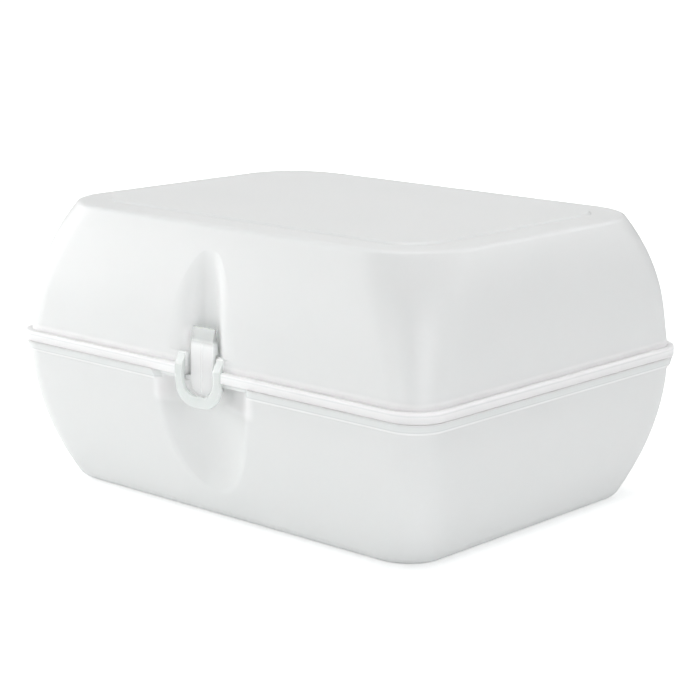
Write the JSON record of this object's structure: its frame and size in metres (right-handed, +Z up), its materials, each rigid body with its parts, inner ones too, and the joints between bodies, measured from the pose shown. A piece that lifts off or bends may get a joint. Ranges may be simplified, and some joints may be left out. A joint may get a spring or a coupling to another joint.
{
  "type": "burger box",
  "caption": "Hinged clamshell food box of frosted plastic: two barrel-sided shells with round corners, a rim flange, a hooked front clasp in a finger recess, and a rear pin hinge.",
  "frame": {"origin": "middle of the base's flat underside, midway between the rim's front and back", "axes": "+X along the long side, +Y from the clasp to the hinge, +Z up from the underside to the lid"},
  "size_m": [0.166, 0.1343, 0.0884],
  "materials": {
    "frosted_polypropylene": "injection-moulded translucent polypropylene, fine frosted texture, smoother on the clasp and rim"
  },
  "bodies": {
    "base": {"base": "frosted_polypropylene"},
    "lid": {"lid": "frosted_polypropylene"}
  },
  "joints": [
    {"name": "lid_hinge", "type": "hinge", "parent": "base", "child": "lid", "pos_m": [0, 0.06746, 0.0444], "axis": [-1, 0, 0], "range_deg": [0, 180]}
  ]
}
